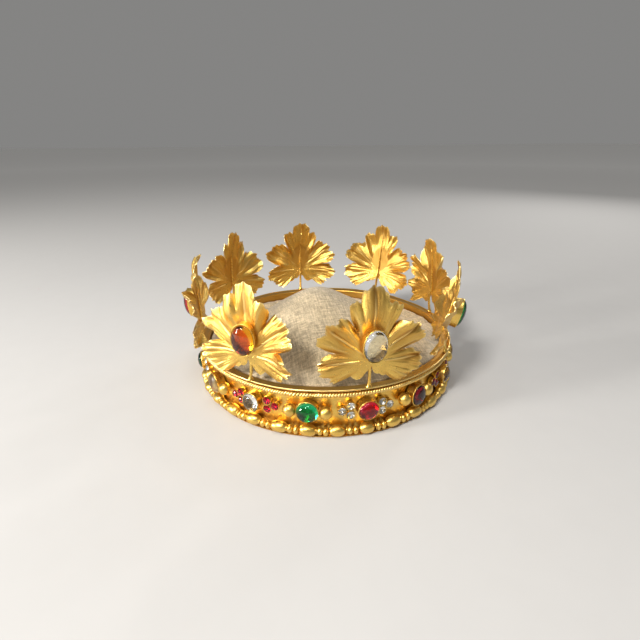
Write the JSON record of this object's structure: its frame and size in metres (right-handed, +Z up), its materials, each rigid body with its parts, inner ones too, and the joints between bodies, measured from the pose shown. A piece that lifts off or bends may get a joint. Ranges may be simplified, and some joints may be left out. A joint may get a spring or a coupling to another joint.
{
  "type": "crown",
  "caption": "Gilt circlet crown with standing vine leaves, glass cabochons in collets, a bead strand round its foot and a domed fabric cap.",
  "frame": {"origin": "centre of the circlet's foot, in the plane of the flange's underside", "axes": "+Z up through the middle of the cap; -Y towards leaf_1, the front leaf; leaves numbered anticlockwise seen from above"},
  "size_m": [0.1966, 0.2021, 0.0913],
  "materials": {
    "gilt_brass": "warm antique gilt, satin",
    "gilt_wire": "milled gilt wire",
    "gilt_beads": "polished gilt beads",
    "gilt_leaf": "pressed and veined gilt sheet",
    "cap_fabric": "champagne cloth with a fine metallic thread",
    "glass_clear": "polished domed glass, foiled behind",
    "glass_amber": "polished domed glass, foiled behind",
    "glass_ruby": "polished domed glass, foiled behind",
    "glass_emerald": "polished domed glass, foiled behind",
    "glass_garnet": "polished domed glass, foiled behind",
    "glass_citrine": "polished domed glass, foiled behind"
  },
  "bodies": {
    "root": {"circlet_band": "gilt_brass", "milled_wire": "gilt_wire", "bead_strand": "gilt_beads", "fabric_cap": "cap_fabric", "leaf_1": "gilt_leaf", "leaf_collet_1": "gilt_brass", "leaf_cabochon_1": "glass_clear", "trefoil_setting_1": "gilt_brass", "trefoil_cabochon_1": "glass_ruby", "ball_setting_1": "gilt_brass", "ball_cabochon_1": "glass_garnet", "leaf_2": "gilt_leaf", "leaf_collet_2": "gilt_brass", "leaf_cabochon_2": "glass_emerald", "trefoil_setting_2": "gilt_brass", "trefoil_cabochon_2": "glass_clear", "ball_setting_2": "gilt_brass", "ball_cabochon_2": "glass_clear", "leaf_3": "gilt_leaf", "leaf_collet_3": "gilt_brass", "leaf_cabochon_3": "glass_ruby", "trefoil_setting_3": "gilt_brass", "trefoil_cabochon_3": "glass_emerald", "ball_setting_3": "gilt_brass", "ball_cabochon_3": "glass_citrine", "leaf_4": "gilt_leaf", "leaf_collet_4": "gilt_brass", "leaf_cabochon_4": "glass_amber", "trefoil_setting_4": "gilt_brass", "trefoil_cabochon_4": "glass_clear", "ball_setting_4": "gilt_brass", "ball_cabochon_4": "glass_emerald", "leaf_5": "gilt_leaf", "leaf_collet_5": "gilt_brass", "leaf_cabochon_5": "glass_clear", "trefoil_setting_5": "gilt_brass", "trefoil_cabochon_5": "glass_ruby", "ball_setting_5": "gilt_brass", "ball_cabochon_5": "glass_garnet", "leaf_6": "gilt_leaf", "leaf_collet_6": "gilt_brass", "leaf_cabochon_6": "glass_emerald", "trefoil_setting_6": "gilt_brass", "trefoil_cabochon_6": "glass_clear", "ball_setting_6": "gilt_brass", "ball_cabochon_6": "glass_clear", "leaf_7": "gilt_leaf", "leaf_collet_7": "gilt_brass", "leaf_cabochon_7": "glass_ruby", "trefoil_setting_7": "gilt_brass", "trefoil_cabochon_7": "glass_emerald", "ball_setting_7": "gilt_brass", "ball_cabochon_7": "glass_citrine", "leaf_8": "gilt_leaf", "leaf_collet_8": "gilt_brass", "leaf_cabochon_8": "glass_amber", "trefoil_setting_8": "gilt_brass", "trefoil_cabochon_8": "glass_clear", "ball_setting_8": "gilt_brass", "ball_cabochon_8": "glass_emerald"}
  },
  "joints": []
}
